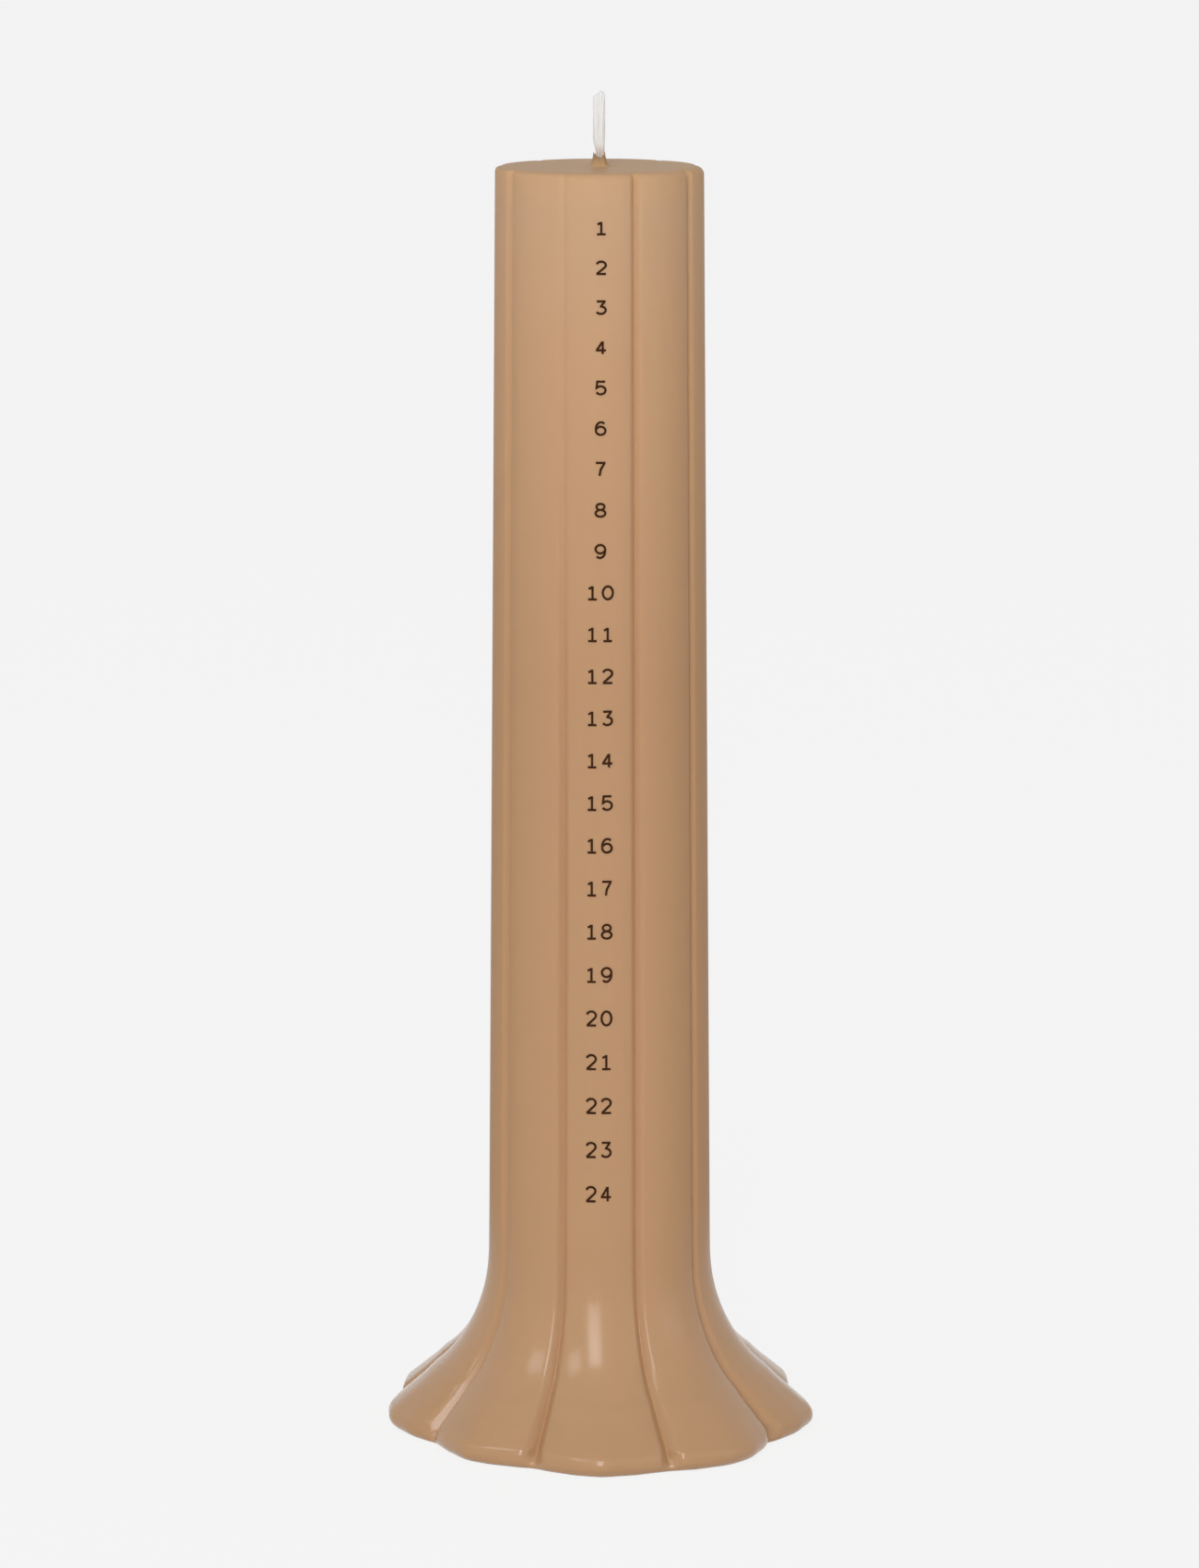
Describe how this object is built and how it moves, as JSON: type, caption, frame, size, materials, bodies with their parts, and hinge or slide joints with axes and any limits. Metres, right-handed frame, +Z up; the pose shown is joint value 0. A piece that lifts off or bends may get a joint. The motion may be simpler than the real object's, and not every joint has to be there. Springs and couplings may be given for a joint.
{
  "type": "calendar candle",
  "caption": "Tall fluted pillar candle on a flared, pleated foot, printed down the front with day marks that are burned off one by one.",
  "frame": {"origin": "centre of the flat base, on the candle's axis, where it stands on the table", "axes": "+Z up the candle towards the wick; -Y the side that carries the numbers; +X to the right of someone who reads them"},
  "size_m": [0.0977, 0.0958, 0.3067],
  "materials": {
    "cast_wax": "cast wax dyed through, a little paler than the coat, dull where it was cut flat at the base",
    "coloured_wax": "dipped tan wax, satin on the column and glossy on the foot, slightly translucent",
    "plug_wax": "undyed wax of the second pour, dull",
    "cotton": "braided undyed cotton, primed with wax at its root",
    "tin": "thin tinplate, stamped and crimped",
    "ink": "dark brown printed ink, flat"
  },
  "bodies": {
    "root": {"wax_core": "cast_wax", "dip_coat": "coloured_wax", "base_fill": "plug_wax", "wick": "cotton", "wick_sustainer": "tin", "numeral_01": "ink", "numeral_02": "ink", "numeral_03": "ink", "numeral_04": "ink", "numeral_05": "ink", "numeral_06": "ink", "numeral_07": "ink", "numeral_08": "ink", "numeral_09": "ink", "numeral_10": "ink", "numeral_11": "ink", "numeral_12": "ink", "numeral_13": "ink", "numeral_14": "ink", "numeral_15": "ink", "numeral_16": "ink", "numeral_17": "ink", "numeral_18": "ink", "numeral_19": "ink", "numeral_20": "ink", "numeral_21": "ink", "numeral_22": "ink", "numeral_23": "ink", "numeral_24": "ink"}
  },
  "joints": []
}
